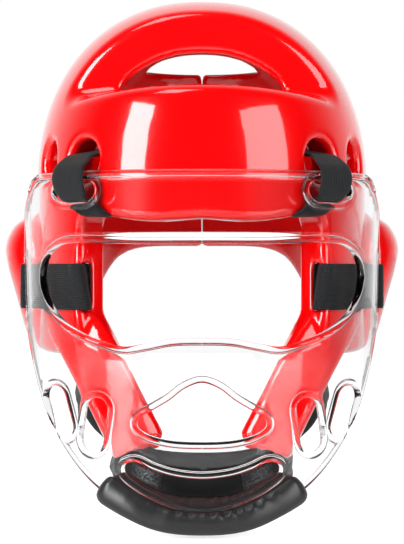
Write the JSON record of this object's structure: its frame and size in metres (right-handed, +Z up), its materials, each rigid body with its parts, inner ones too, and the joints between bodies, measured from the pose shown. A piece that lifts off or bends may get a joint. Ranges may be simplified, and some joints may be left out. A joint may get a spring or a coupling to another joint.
{
  "type": "taekwondo headgear with face shield",
  "caption": "Dipped-foam sparring headgear with a clear face shield, webbing straps, a chin roll and a padded chin cup.",
  "frame": {"origin": "the top of the hollow, where the wearer's head meets the crown", "axes": "+Z up, the face looks along -Y, +X to the viewer's right when the face is seen from the front"},
  "size_m": [0.2342, 0.2581, 0.2942],
  "materials": {
    "foam_red": "glossy",
    "clear_sheet": "clear",
    "roll_black": "satin",
    "cup_black": "satin",
    "webbing_black": "matt"
  },
  "bodies": {
    "root": {"foam_shell": "foam_red", "face_shield": "clear_sheet", "chin_roll": "roll_black", "chin_cup": "cup_black", "rear_strap": "webbing_black", "upper_strap_right": "webbing_black", "upper_strap_left": "webbing_black", "side_strap_right": "webbing_black", "side_strap_left": "webbing_black", "chin_strap_right": "webbing_black", "chin_strap_left": "webbing_black"}
  },
  "joints": []
}
